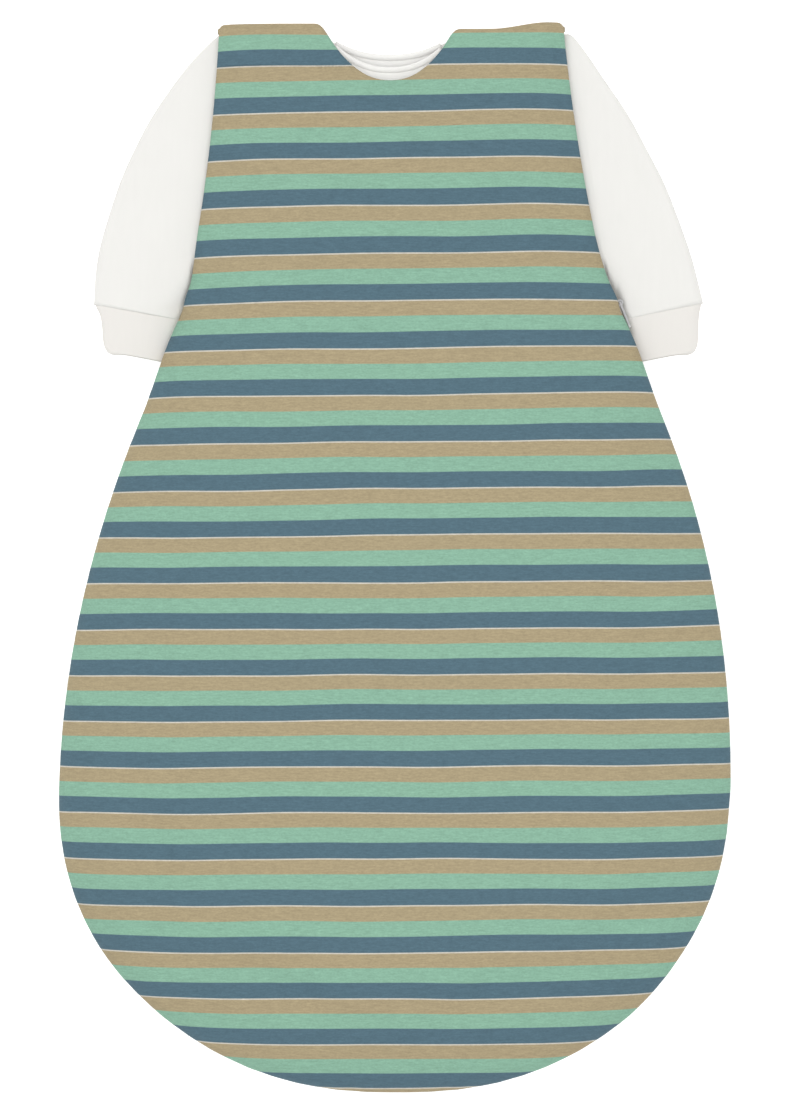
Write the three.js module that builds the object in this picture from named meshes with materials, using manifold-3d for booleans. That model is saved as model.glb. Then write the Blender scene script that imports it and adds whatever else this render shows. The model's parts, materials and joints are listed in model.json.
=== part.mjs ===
// A baby sleeping bag lying flat on its back: a padded, sleeveless outer bag with a side zip
// and snapped shoulders, over a thin inner bag with long sleeves and cuffs.
// Millimetres. X runs across the bag, Y from the foot end to the head end, Z up from the floor.
// The origin is under the middle of the bag, on the floor.
import * as THREE from 'three';
import * as BufferGeometryUtils from 'three/addons/utils/BufferGeometryUtils.js';
import Module from 'manifold-3d';

const wasm = await Module();
wasm.setup();

// ---- Driving dimensions ----
const HALF_LENGTH = 325;                              // from the middle to the foot end and the shoulders
const SIDE = { x: -389.4, y: -143.1, r: 593.3 };      // the long curve of the bag's right-hand side
const FOOT_LINE = -138.6;                             // the widest line, where the round foot begins
const FOOT_POWER = 2.42;                              // how square the round foot is
const FLARE = { amount: 5, start: 80, end: 150 };     // how far the side swings out below the arm
const UNDERARM = { low: 150, high: 168 };             // the step between the side and the armhole
const ARMHOLE = { low: 126.5, high: 104.5, scoop: 0.52 };   // half widths at its ends, and its hollow
const SHOULDER_CORNER = 40;                           // half width of the neck at the shoulder line
const NECK_POWER = 2.1;                               // the neck is a U of this power
const GAP = 0.3;                                      // clear space between neighbouring pieces

const SEAM_Z = 18;                                    // height of the seam that joins front and back
const CHEST = { low: 90, high: 250 };                 // the bag thins towards the head between these
const SHELL = 1.2;                                    // thickness of the striped jersey
const LINING = 1;                                     // thickness of the lining jersey
const INNER = 1;                                      // thickness of the inner bag's jersey
const RIM = 11.5;                                     // width of the wadding along the side seams
const FRONT_TOP = { belly: 46, head: 31 };            // height of the front's outside
const FRONT_WADDING = { belly: 9, head: 6 };
const BACK_WADDING = { belly: 5.8, head: 3.2 };
const BACK_WADDING_RIM = 12;                          // it is trimmed off here, below the side seam
const INNER_FRONT_TOP = { belly: 33.8, head: 16 };

const FOLD = { head: [-14, 293.5], foot: [205, -136] };   // the front's right corner opens on this line
const STRAP_LINE = 297;                               // the left shoulder strap folds on this line
const SNAP = { radius: 6, hole: 3.4, knob: 2.2, y: 306, inner: 54, outer: 77 };
const TAB = { inner: 45, outer: 100, low: 293, end: 317.8, front: 321.6, fold: 1.8, top: 18.4, bottom: 1.5 };

const ZIP = { x: -789.4, y: -220.3, r: 994.3 };       // the zip's line is an arc about this far centre
const CHAIN = { low: -112, high: 143, pitch: 6, tooth: 2.4, from: 0.6, to: 4.2, half: 1.2 };
const TAPE = { from: 4.5, to: 8.6, half: 0.4, low: -114, high: 166 };
const GROOVE = { low: -160, high: 176, depth: 4.7, mouth: 12, half: 9 };
const PADDING_STOP = { depth: 9, half: 13 };           // the wadding ends this far short of the zip
const SLIDER = { y: 153, length: 12, plate: 1, inside: 1.8, half: 4.2, post: 3, postHalf: 0.35 };
const BAIL = { pivot: 4.3, hole: 1.1, wall: 0.9, half: 1.2 };
const PULL = { length: 17, width: 6, thick: 1.2, bar: 0.6, window: 3.4, windowWidth: 3.4 };
const STOP = { y: 164.8, length: 2.6 };
const BOTTOM_BOX = { y: -134, length: 6, half: 1.5, tall: 4.2 };

const SLEEVE = { half: 6, wall: 1.2, shoulderZ: 12.6, underarmZ: 7.6, cuffZ: 6.8 };
const CUFF = { half: 5, wall: 1.6 };
const COLUMNS = 14;
const AROUND = 16;

// ---- Materials ----
const material = (color, roughness, metalness = 0) =>
  new THREE.MeshStandardMaterial({ color, roughness, metalness });
const STRIPED_JERSEY = material(0x8fb0a0, 0.9);
const WHITE_JERSEY = material(0xf2f1ed, 0.9);
const WADDING = material(0xfaf8f2, 1);
const RIB = material(0xefece7, 0.9);
const ZIP_TAPE = material(0xe6e4de, 0.8);
const ZIP_PLASTIC = material(0xf4f2ee, 0.4);
const METAL = material(0xc8c8ca, 0.3, 1);
const LAYER_LOOKS = { shell: STRIPED_JERSEY, wadding: WADDING, lining: WHITE_JERSEY };

// ---- Small helpers ----
const lerp = (a, b, t) => a + (b - a) * t;
const clamp = (t) => Math.min(1, Math.max(0, t));
const smooth = (t) => clamp(t) ** 2 * (3 - 2 * clamp(t));
const towardsHead = (pair) => (y) =>
  lerp(pair.belly, pair.head, smooth((y - CHEST.low) / (CHEST.high - CHEST.low)));
const pastUnderarm = (y) => smooth((y - UNDERARM.low) / (UNDERARM.high - UNDERARM.low));

function signedVolume(geometry) {
  const p = geometry.attributes.position;
  const index = geometry.index.array;
  const [a, b, c] = [new THREE.Vector3(), new THREE.Vector3(), new THREE.Vector3()];
  let six = 0;
  for (let i = 0; i < index.length; i += 3) {
    a.fromBufferAttribute(p, index[i]);
    b.fromBufferAttribute(p, index[i + 1]);
    c.fromBufferAttribute(p, index[i + 2]);
    six += a.dot(b.cross(c));
  }
  return six / 6;
}

function facingOut(geometry) {
  if (signedVolume(geometry) < 0) {
    geometry.index.array.reverse();
  }
  return geometry;
}

function meshOf(points, triangles) {
  const geometry = new THREE.BufferGeometry();
  geometry.setAttribute('position', new THREE.Float32BufferAttribute(points.flat(), 3));
  geometry.setIndex(triangles.flat());
  return facingOut(geometry);
}

function welded(source) {
  const geometry = source.clone();
  geometry.deleteAttribute('normal');
  geometry.deleteAttribute('uv');
  return facingOut(BufferGeometryUtils.mergeVertices(geometry, 1e-4));
}

function solid(source) {
  const geometry = welded(source);
  const vertProperties = Float32Array.from(geometry.attributes.position.array);
  const triVerts = Uint32Array.from(geometry.index.array);
  return new wasm.Manifold(new wasm.Mesh({ numProp: 3, vertProperties, triVerts }));
}

function geometryOf(manifold) {
  const mesh = manifold.getMesh();
  const points = [];
  for (let i = 0; i < mesh.vertProperties.length; i += mesh.numProp) {
    points.push([...mesh.vertProperties.slice(i, i + 3)]);
  }
  return meshOf(points, [[...mesh.triVerts]]);
}

const group = new THREE.Group();

function addPiece(name, geometry, look) {
  const mesh = new THREE.Mesh(welded(geometry), look);
  mesh.name = name;
  group.add(mesh);
  return mesh;
}

// ---- The bag's outline ----
function sideWidth(y, inset) {
  const below = Math.min(y, UNDERARM.low);
  const side = SIDE.x + Math.sqrt((SIDE.r - inset) ** 2 - (below - SIDE.y) ** 2)
    + FLARE.amount * smooth((below - FLARE.start) / (FLARE.end - FLARE.start));
  const up = (y - UNDERARM.high) / (HALF_LENGTH - UNDERARM.high);
  const hollowed = up * (1 + ARMHOLE.scoop * (1 - up));
  return lerp(side, lerp(ARMHOLE.low, ARMHOLE.high, hollowed) - inset, pastUnderarm(y));
}

// The top edge of a panel: a U-shaped neck between two shoulders.
const neckAndShoulders = (neck, corner, shoulder) => (x) => {
  const out = Math.abs(x);
  if (out < SHOULDER_CORNER) {
    return lerp(neck, corner, (out / SHOULDER_CORNER) ** NECK_POWER);
  }
  return lerp(corner, shoulder, (out - SHOULDER_CORNER) / (ARMHOLE.high - SHOULDER_CORNER));
};

const FRONT_EDGE = neckAndShoulders(290, 321.5, HALF_LENGTH);
const BACK_EDGE = neckAndShoulders(303, 317.5, 317.5);
const INNER_FRONT_EDGE = neckAndShoulders(295.5, 316.5, 318);
const INNER_BACK_EDGE = neckAndShoulders(303, 316.5, 318);

// ---- Panels: dished layers over the outline ----
const domed = (rho) => Math.sqrt(1 - rho ** 6);
const flatThenRound = (rho) => Math.sqrt(1 - (Math.max(0, rho - 0.6) / 0.4) ** 2);

function panelRows() {
  const rows = [];
  const footRows = 6;
  for (let i = 0; i < footRows; i += 1) {
    rows.push({ foot: Math.cos(i / footRows * Math.PI / 2) ** (2 / FOOT_POWER) });
  }
  const bodyRows = 4;
  for (let i = 0; i < bodyRows; i += 1) {
    rows.push({ y: lerp(FOOT_LINE, UNDERARM.low, i / bodyRows) });
  }
  rows.push({ y: UNDERARM.low });
  rows.push({ y: (UNDERARM.low + UNDERARM.high) / 2 });
  const headRows = 3;
  for (let i = 0; i <= headRows; i += 1) {
    rows.push({ head: i / headRows });
  }
  return rows;
}

function surfacePoint(surface, row, u) {
  const foot = row.foot ?? 0;
  let y = row.y;
  if (row.foot !== undefined) {
    y = FOOT_LINE - foot * (FOOT_LINE + HALF_LENGTH - surface.inset);
  }
  if (row.head !== undefined) {
    y = lerp(UNDERARM.high, surface.top(u * ARMHOLE.high), row.head);
  }
  const footShare = foot ** FOOT_POWER;
  const x = u * sideWidth(y, surface.inset) * (1 - footShare) ** (1 / FOOT_POWER);
  const rho = (Math.abs(u) ** FOOT_POWER * (1 - footShare) + footShare) ** (1 / FOOT_POWER);
  const edge = surface.edge(y);
  return [x, y, edge + (surface.crest(y) - edge) * surface.profile(Math.min(1, rho))];
}

// One layer of cloth or wadding: the space between an outside and an inside surface.
function panelLayer(outside, inside) {
  const rows = panelRows();
  const points = [];
  const triangles = [];
  const grids = [outside, inside].map((surface) => rows.map((row, r) => {
    const line = [];
    for (let c = 0; c <= COLUMNS; c += 1) {
      if (r === 0 && c > 0) {
        line.push(line[0]);
        continue;
      }
      points.push(surfacePoint(surface, row, Math.sin((2 * c / COLUMNS - 1) * Math.PI / 2)));
      line.push(points.length - 1);
    }
    return line;
  }));
  const quad = (a, b, c, d) => {
    if (a !== b) {
      triangles.push([a, b, c]);
    }
    triangles.push([a, c, d]);
  };
  for (let r = 0; r + 1 < rows.length; r += 1) {
    for (let c = 0; c < COLUMNS; c += 1) {
      const [low, high] = [grids[0][r], grids[0][r + 1]];
      quad(low[c], low[c + 1], high[c + 1], high[c]);
      const [lowIn, highIn] = [grids[1][r], grids[1][r + 1]];
      if (lowIn[c] !== lowIn[c + 1]) {
        triangles.push([lowIn[c], highIn[c + 1], lowIn[c + 1]]);
      }
      triangles.push([lowIn[c], highIn[c], highIn[c + 1]]);
    }
  }
  const loops = grids.map((grid) => [
    ...grid.map((line) => line[0]),
    ...grid[grid.length - 1].slice(1),
    ...grid.slice(1, -1).reverse().map((line) => line[COLUMNS]),
  ]);
  for (let i = 0; i < loops[0].length; i += 1) {
    const next = (i + 1) % loops[0].length;
    const [a, b, c, d] = [loops[0][i], loops[0][next], loops[1][next], loops[1][i]];
    triangles.push([a, b, c]);
    triangles.push([a, c, d]);
  }
  return meshOf(points, triangles);
}

const frontEdge = (y) => lerp(SEAM_Z + 0.2, 21, pastUnderarm(y));
const backEdge = (y) => lerp(SEAM_Z - 0.2, 7, pastUnderarm(y));
const innerFrontEdge = (y) => lerp(SEAM_Z + 0.2, 14.5, pastUnderarm(y));
const innerBackEdge = (y) => lerp(SEAM_Z - 0.2, 8.5, pastUnderarm(y));

const WADDING_INSET = SHELL + GAP;
const LINING_INSET = WADDING_INSET + RIM + GAP;
const INNER_INSET = LINING_INSET + LINING + 0.4;

function frontSurface(inset, depth, waddingShare, setBack = 0) {
  const crest = (y) => towardsHead(FRONT_TOP)(y) - depth - waddingShare * towardsHead(FRONT_WADDING)(y);
  const top = (x) => FRONT_EDGE(x) - setBack;
  return { inset, crest, edge: frontEdge, profile: domed, top };
}

function backSurface(inset, depth, waddingShare, setBack = 0) {
  const crest = (y) => depth + waddingShare * towardsHead(BACK_WADDING)(y);
  const top = (x) => BACK_EDGE(x) - setBack;
  return { inset, crest, edge: backEdge, profile: flatThenRound, top };
}

const frontLayers = {
  shell: solid(panelLayer(frontSurface(0, 0, 0), frontSurface(SHELL, SHELL, 0))),
  wadding: solid(panelLayer(
    frontSurface(WADDING_INSET, WADDING_INSET, 0, 2),
    frontSurface(WADDING_INSET + RIM, WADDING_INSET, 1, 2),
  )),
  lining: solid(panelLayer(
    frontSurface(LINING_INSET, WADDING_INSET + GAP, 1, 1),
    frontSurface(LINING_INSET + LINING, WADDING_INSET + GAP + LINING, 1, 1),
  )),
};

const backLayers = {
  shell: solid(panelLayer(backSurface(0, 0, 0), backSurface(SHELL, SHELL, 0))),
  wadding: solid(panelLayer(
    backSurface(WADDING_INSET, WADDING_INSET, 0, 2),
    backSurface(WADDING_INSET + RIM, WADDING_INSET, 1, 2),
  )),
  lining: solid(panelLayer(
    backSurface(LINING_INSET, WADDING_INSET + GAP, 1, 1),
    backSurface(LINING_INSET + LINING, WADDING_INSET + GAP + LINING, 1, 1),
  )),
};

// ---- The zip's line: (along, up, out) becomes a place on the arc ----
const zipAngle = (y) => Math.asin((y - ZIP.y) / ZIP.r);

function bentAlongZip(geometry) {
  const p = geometry.attributes.position;
  for (let i = 0; i < p.count; i += 1) {
    const angle = p.getX(i) / ZIP.r;
    const out = ZIP.r + p.getZ(i);
    p.setXYZ(i, ZIP.x + out * Math.cos(angle), ZIP.y + out * Math.sin(angle), SEAM_Z + p.getY(i));
  }
  return welded(geometry);
}

// A strip along the zip between two heights and two distances out, in steps short enough to bend.
function zipStrip(yLow, yHigh, zLow, zHigh, outLow, outHigh) {
  const [from, to] = [zipAngle(yLow) * ZIP.r, zipAngle(yHigh) * ZIP.r];
  const steps = Math.max(1, Math.round((to - from) / 20));
  const strip = new THREE.BoxGeometry(to - from, zHigh - zLow, outHigh - outLow, steps, 1, 1);
  strip.translate((from + to) / 2, (zLow + zHigh) / 2, (outLow + outHigh) / 2);
  return bentAlongZip(strip);
}

const zipSpace = (depth, half) => solid(zipStrip(
  GROOVE.low, GROOVE.high, -half, half, -depth, GROOVE.mouth,
));
const seamGroove = zipSpace(GROOVE.depth, GROOVE.half);
const paddingGroove = zipSpace(PADDING_STOP.depth, PADDING_STOP.half);
const grooveFor = (layer) => (layer === 'wadding' ? paddingGroove : seamGroove);

// The space inside a neck edge, which is cut out of every layer of a panel.
function neckSpace(edge, steps = 14) {
  const line = Array.from({ length: steps + 1 }, (_, i) => {
    const x = lerp(-SHOULDER_CORNER, SHOULDER_CORNER, i / steps);
    return new THREE.Vector2(x, edge(x));
  });
  const above = 2 * HALF_LENGTH;
  line.push(new THREE.Vector2(SHOULDER_CORNER, above), new THREE.Vector2(-SHOULDER_CORNER, above));
  const space = new THREE.ExtrudeGeometry(new THREE.Shape(line), { depth: 200, bevelEnabled: false });
  space.translate(0, 0, -100);
  return solid(space);
}

// ---- Cutting the front into its fixed part, its opening corner and its left strap ----
function beyondLine(point, direction, offset) {
  const size = 1000;
  const side = new THREE.Vector2(-direction.y, direction.x);
  const box = new THREE.BoxGeometry(size, size, size);
  box.translate(size / 2 + offset, 0, 0);
  box.rotateZ(Math.atan2(-side.y, -side.x));
  box.translate(point[0], point[1], 0);
  return solid(box);
}

const foldDirection = new THREE.Vector2(
  FOLD.head[0] - FOLD.foot[0],
  FOLD.head[1] - FOLD.foot[1],
).normalize();
const headWards = new THREE.Vector2(-1, 0);
const pastFold = (offset) => beyondLine(FOLD.head, foldDirection, offset);
const pastStrapLine = (offset) => beyondLine([0, STRAP_LINE], headWards, offset);

function addFront() {
  const neck = neckSpace(FRONT_EDGE);
  for (const [layer, whole] of Object.entries(frontLayers)) {
    const look = LAYER_LOOKS[layer];
    const open = whole.subtract(grooveFor(layer)).subtract(neck);
    const fixed = open.subtract(pastFold(-GAP / 2)).subtract(pastStrapLine(-GAP / 2));
    const strap = open.subtract(pastFold(-GAP / 2)).intersect(pastStrapLine(GAP / 2));
    addPiece(`front_${layer}`, geometryOf(fixed), look);
    addPiece(`corner_${layer}`, geometryOf(open.intersect(pastFold(GAP / 2))), look);
    addPiece(`left_strap_${layer}`, geometryOf(strap), look);
  }
}

function aboveWaddingRim() {
  const space = new THREE.BoxGeometry(2 * HALF_LENGTH, 3 * HALF_LENGTH, SEAM_Z);
  space.translate(0, 0, BACK_WADDING_RIM + SEAM_Z / 2);
  return solid(space);
}

function addBack() {
  const neck = neckSpace(BACK_EDGE);
  for (const [layer, whole] of Object.entries(backLayers)) {
    const open = whole.subtract(grooveFor(layer)).subtract(neck);
    const trimmed = layer === 'wadding' ? open.subtract(aboveWaddingRim()) : open;
    addPiece(`back_${layer}`, geometryOf(trimmed), LAYER_LOOKS[layer]);
  }
}

// ---- Shoulder tabs: the back's straps, turned over the shoulder and under the front ----
function addShoulderTab(name, side) {
  const outline = new THREE.Shape([
    [TAB.end, TAB.bottom],
    [TAB.front, TAB.bottom],
    [TAB.front, TAB.top],
    [TAB.low, TAB.top],
    [TAB.low, TAB.top - 2],
    [TAB.front - TAB.fold, TAB.top - 2],
    [TAB.front - TAB.fold, TAB.bottom + 2],
    [TAB.end, TAB.bottom + 2],
  ].map(([y, z]) => new THREE.Vector2(y, z)));
  const tab = new THREE.ExtrudeGeometry(outline, { depth: TAB.outer - TAB.inner, bevelEnabled: false });
  const axes = new THREE.Matrix4().makeBasis(
    new THREE.Vector3(0, 1, 0),
    new THREE.Vector3(0, 0, 1),
    new THREE.Vector3(1, 0, 0),
  );
  tab.applyMatrix4(axes);
  tab.translate(side > 0 ? TAB.inner : -TAB.outer, 0, 0);
  addPiece(name, tab, STRIPED_JERSEY);
}

// ---- Snaps: a stud on the tab stands in a socket under the front strap ----
function turned(profile) {
  const points = profile.map(([r, z]) => new THREE.Vector2(r, z));
  return new THREE.LatheGeometry(points, 14).rotateX(Math.PI / 2);
}

function addSnap(name, x) {
  const studZ = TAB.top + GAP;
  const stud = addPiece(`${name}_stud`, turned([
    [0, 0],
    [SNAP.radius, 0],
    [SNAP.radius, 0.8],
    [SNAP.knob, 0.8],
    [SNAP.knob, 1.9],
    [0, 1.9],
  ]), METAL);
  stud.position.set(x, SNAP.y, studZ);
  const socket = addPiece(`${name}_socket`, turned([
    [SNAP.hole, 0],
    [SNAP.radius, 0],
    [SNAP.radius, 1.6],
    [SNAP.hole, 1.6],
    [SNAP.hole, 0],
  ]), METAL);
  socket.position.set(x, SNAP.y, studZ + 1.2);
}

// ---- The zip ----
function zipBox(y, length, zLow, zHigh, outLow, outHigh) {
  const s = zipAngle(y) * ZIP.r;
  const box = new THREE.BoxGeometry(length, zHigh - zLow, outHigh - outLow);
  box.translate(s, (zLow + zHigh) / 2, (outLow + outHigh) / 2);
  return bentAlongZip(box);
}

// One side of the chain: teeth standing on a bead that runs along the tape's edge.
function chainRow(side) {
  const neck = CHAIN.to - 1.2;
  const heights = (low, high) => [side * low, side * high].sort((a, b) => a - b);
  const half = CHAIN.half;
  let row = solid(zipStrip(CHAIN.low, CHAIN.high, ...heights(neck, CHAIN.to), -half, half));
  const first = CHAIN.low + (side > 0 ? 2 : 2 + CHAIN.pitch / 2);
  for (let y = first; y + CHAIN.tooth < CHAIN.high; y += CHAIN.pitch) {
    const tooth = zipBox(y, CHAIN.tooth, ...heights(CHAIN.from, neck + 0.4), 0.1 - half, half - 0.1);
    row = row.add(solid(tooth));
  }
  return geometryOf(row);
}

// The eye that holds the pull: a rounded plate with a hole whose axis is upright.
function bail() {
  const around = BAIL.hole + BAIL.wall;
  const outline = new THREE.Shape();
  outline.moveTo(-around, SLIDER.inside + SLIDER.plate - 0.4);
  outline.lineTo(around, SLIDER.inside + SLIDER.plate - 0.4);
  outline.lineTo(around, BAIL.pivot);
  outline.absarc(0, BAIL.pivot, around, 0, Math.PI, false);
  const hole = new THREE.Path();
  hole.absarc(0, BAIL.pivot, BAIL.hole, 0, 2 * Math.PI, true);
  outline.holes.push(hole);
  const plate = new THREE.ExtrudeGeometry(outline, {
    depth: 2 * BAIL.half, bevelEnabled: false, curveSegments: 6,
  });
  plate.translate(0, 0, -BAIL.half);
  const swap = new THREE.Matrix4().makeBasis(
    new THREE.Vector3(1, 0, 0),
    new THREE.Vector3(0, 0, 1),
    new THREE.Vector3(0, 1, 0),
  );
  plate.applyMatrix4(swap);
  plate.translate(zipAngle(SLIDER.y) * ZIP.r, 0, 0);
  return bentAlongZip(plate);
}

function slider() {
  const outer = SLIDER.inside + SLIDER.plate;
  const postY = SLIDER.y + SLIDER.length / 2 - SLIDER.post / 2;
  const plates = [
    zipBox(SLIDER.y, SLIDER.length, -SLIDER.half, SLIDER.half, SLIDER.inside, outer),
    zipBox(SLIDER.y, SLIDER.length, -SLIDER.half, SLIDER.half, -outer, -SLIDER.inside),
    zipBox(postY, SLIDER.post, -SLIDER.postHalf, SLIDER.postHalf, -outer + 0.2, outer - 0.2),
    bail(),
  ];
  return geometryOf(plates.map(solid).reduce((all, next) => all.add(next)));
}

// The pull: a rounded tag, hung on the bail by the bar above its window.
function pull() {
  const half = PULL.width / 2;
  const low = PULL.bar - PULL.length;
  const round = 2;
  const outline = new THREE.Shape();
  outline.moveTo(PULL.bar, -half);
  outline.lineTo(PULL.bar, half);
  outline.lineTo(low + round, half);
  outline.absarc(low + round, half - round, round, Math.PI / 2, Math.PI, false);
  outline.absarc(low + round, round - half, round, Math.PI, 3 * Math.PI / 2, false);
  const inside = PULL.windowWidth / 2;
  const hole = new THREE.Path([
    new THREE.Vector2(-PULL.bar, -inside),
    new THREE.Vector2(-PULL.bar - PULL.window, -inside),
    new THREE.Vector2(-PULL.bar - PULL.window, inside),
    new THREE.Vector2(-PULL.bar, inside),
  ]);
  outline.holes.push(hole);
  const tag = new THREE.ExtrudeGeometry(outline, {
    depth: PULL.thick, bevelEnabled: false, curveSegments: 4,
  });
  tag.translate(0, 0, -PULL.thick / 2);
  const angle = zipAngle(SLIDER.y);
  const out = new THREE.Vector3(Math.cos(angle), Math.sin(angle), 0);
  const along = new THREE.Vector3(-Math.sin(angle), Math.cos(angle), 0);
  tag.applyMatrix4(new THREE.Matrix4().makeBasis(along, new THREE.Vector3(0, 0, 1), out));
  const reach = ZIP.r + BAIL.pivot;
  tag.translate(ZIP.x + reach * out.x, ZIP.y + reach * out.y, SEAM_Z);
  return tag;
}

function addZip() {
  for (const [name, side] of [['front', 1], ['back', -1]]) {
    const [tapeLow, tapeHigh] = [side * TAPE.from, side * TAPE.to].sort((a, b) => a - b);
    const tape = zipStrip(TAPE.low, TAPE.high, tapeLow, tapeHigh, -TAPE.half, TAPE.half);
    addPiece(`zip_tape_${name}`, tape, ZIP_TAPE);
    addPiece(`zip_teeth_${name}`, chainRow(side), ZIP_PLASTIC);
    const [stopLow, stopHigh] = [side * CHAIN.from, side * CHAIN.to].sort((a, b) => a - b);
    const stop = zipBox(STOP.y, STOP.length, stopLow, stopHigh, -CHAIN.half, CHAIN.half);
    addPiece(`zip_top_stop_${name}`, stop, METAL);
  }
  const box = zipBox(
    BOTTOM_BOX.y, BOTTOM_BOX.length, -BOTTOM_BOX.tall, BOTTOM_BOX.tall, -BOTTOM_BOX.half, BOTTOM_BOX.half,
  );
  addPiece('zip_bottom_stop', box, METAL);
  addPiece('zip_slider', slider(), METAL);
  addPiece('zip_pull', pull(), METAL);
}

// ---- The inner bag ----
function innerSurface(side, inset, depth, top) {
  if (side > 0) {
    const crest = (y) => towardsHead(INNER_FRONT_TOP)(y) - depth;
    return { inset, crest, edge: innerFrontEdge, profile: domed, top };
  }
  const lift = 2 * WADDING_INSET - SHELL + LINING + 0.4 + depth;
  const crest = (y) => lift + towardsHead(BACK_WADDING)(y);
  return { inset, crest, edge: innerBackEdge, profile: flatThenRound, top };
}

function addInnerBody() {
  for (const [name, side, top] of [['front', 1, INNER_FRONT_EDGE], ['back', -1, INNER_BACK_EDGE]]) {
    const layer = panelLayer(
      innerSurface(side, INNER_INSET, 0, top),
      innerSurface(side, INNER_INSET + INNER, INNER, top),
    );
    addPiece(`inner_${name}`, geometryOf(solid(layer).subtract(neckSpace(top))), WHITE_JERSEY);
  }
}

// The binding is a narrow strip along the inner bag's neck edge.
function addNeckBinding(name, edge, zLow, zHigh) {
  const steps = 12;
  const reach = SHOULDER_CORNER * 6 / 7;
  const line = (lift) => Array.from({ length: steps + 1 }, (_, i) => {
    const x = lerp(-reach, reach, i / steps);
    return new THREE.Vector2(x, edge(x) + lift);
  });
  const outline = new THREE.Shape([...line(0.5), ...line(3.4).reverse()]);
  const strip = new THREE.ExtrudeGeometry(outline, { depth: zHigh - zLow, bevelEnabled: false });
  strip.translate(0, 0, zLow);
  addPiece(name, strip, RIB);
}

// ---- Sleeves and cuffs: flat tubes whose sections run from the body side to the outer side ----
function tube(innerLine, outerLine, innerZ, outerZ, half, wall, steps) {
  const points = [];
  const triangles = [];
  const grid = [0, wall].map((inset) => Array.from({ length: steps + 1 }, (_, i) => {
    const t = i / steps;
    const near = innerLine.getPoint(t);
    const far = outerLine.getPoint(t);
    const middle = near.clone().add(far).multiplyScalar(0.5);
    const across = far.clone().sub(near);
    const halfWidth = across.length() / 2;
    across.normalize();
    return Array.from({ length: AROUND }, (_, k) => {
      const angle = 2 * Math.PI * k / AROUND;
      const [c, s] = [Math.cos(angle), Math.sin(angle)];
      const sideways = Math.sign(c) * Math.abs(c) ** 0.7;
      const up = Math.sign(s) * Math.abs(s) ** 0.7;
      const at = (halfWidth - inset) * sideways;
      const z = lerp(innerZ(t), outerZ(t), (at / halfWidth + 1) / 2) + (half - inset) * up;
      points.push([middle.x + across.x * at, middle.y + across.y * at, z]);
      return points.length - 1;
    });
  }));
  const strip = (low, high, flip) => {
    for (let k = 0; k < AROUND; k += 1) {
      const next = (k + 1) % AROUND;
      const [a, b, c, d] = [low[k], low[next], high[next], high[k]];
      triangles.push(flip ? [a, c, b] : [a, b, c]);
      triangles.push(flip ? [a, d, c] : [a, c, d]);
    }
  };
  for (let i = 0; i < steps; i += 1) {
    strip(grid[0][i], grid[0][i + 1], false);
    strip(grid[1][i], grid[1][i + 1], true);
  }
  strip(grid[0][0], grid[1][0], true);
  strip(grid[0][steps], grid[1][steps], false);
  return meshOf(points, triangles);
}

const point2 = (x, y) => new THREE.Vector2(x, y);

// Distances out from the bag's middle line. The zip side keeps clear of the slider and its pull.
// The right arm lies a little further out at the wrist than the left one.
const OUTER_SEAM = {
  left: [point2(106.5, 318), point2(141.6, 289.5), point2(182.2, 217.5), point2(183.5, 153.8)],
  right: [point2(106.5, 318), point2(145, 266.3), point2(170.7, 225.6), point2(186.8, 154.6)],
};
const INNER_SEAM = {
  left: [point2(128.4, 168), point2(131, 160), point2(140.5, 145.4)],
  right: [point2(126.8, 180), point2(150, 172), point2(150, 146.6)],
};
const CUFF_INNER = {
  left: [point2(140.8, 144.9), point2(149.5, 118)],
  right: [point2(150.2, 146.1), point2(151, 118)],
};
const CUFF_OUTER = {
  left: [point2(182.4, 153.2), point2(177.5, 126)],
  right: [point2(185.8, 154), point2(182.8, 127)],
};

function addArm(name, side) {
  const sleeve = tube(
    new THREE.QuadraticBezierCurve(...INNER_SEAM[name]),
    new THREE.CubicBezierCurve(...OUTER_SEAM[name]),
    (t) => lerp(SLEEVE.underarmZ, SLEEVE.cuffZ, t),
    (t) => lerp(SLEEVE.shoulderZ, SLEEVE.cuffZ, t),
    SLEEVE.half,
    SLEEVE.wall,
    8,
  );
  const cuff = tube(
    new THREE.LineCurve(...CUFF_INNER[name]),
    new THREE.LineCurve(...CUFF_OUTER[name]),
    () => SLEEVE.cuffZ,
    () => SLEEVE.cuffZ,
    CUFF.half,
    CUFF.wall,
    2,
  );
  for (const [piece, geometry, look] of [['sleeve', sleeve, WHITE_JERSEY], ['cuff', cuff, RIB]]) {
    geometry.scale(side, 1, 1);
    addPiece(`${name}_${piece}`, facingOut(geometry), look);
  }
}

// ---- Assembly ----
addFront();
addBack();
for (const [name, side] of [['left', -1], ['right', 1]]) {
  addShoulderTab(`${name}_shoulder_tab`, side);
  addSnap(`${name}_inner_snap`, side * SNAP.inner);
  addSnap(`${name}_outer_snap`, side * SNAP.outer);
  addArm(name, side);
}
addZip();
addInnerBody();
addNeckBinding('neck_binding_front', INNER_FRONT_EDGE, 14.4, 16.2);
addNeckBinding('neck_binding_back', INNER_BACK_EDGE, 6.3, 8.1);

export default group;
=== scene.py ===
import json
import math
from collections import namedtuple

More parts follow.
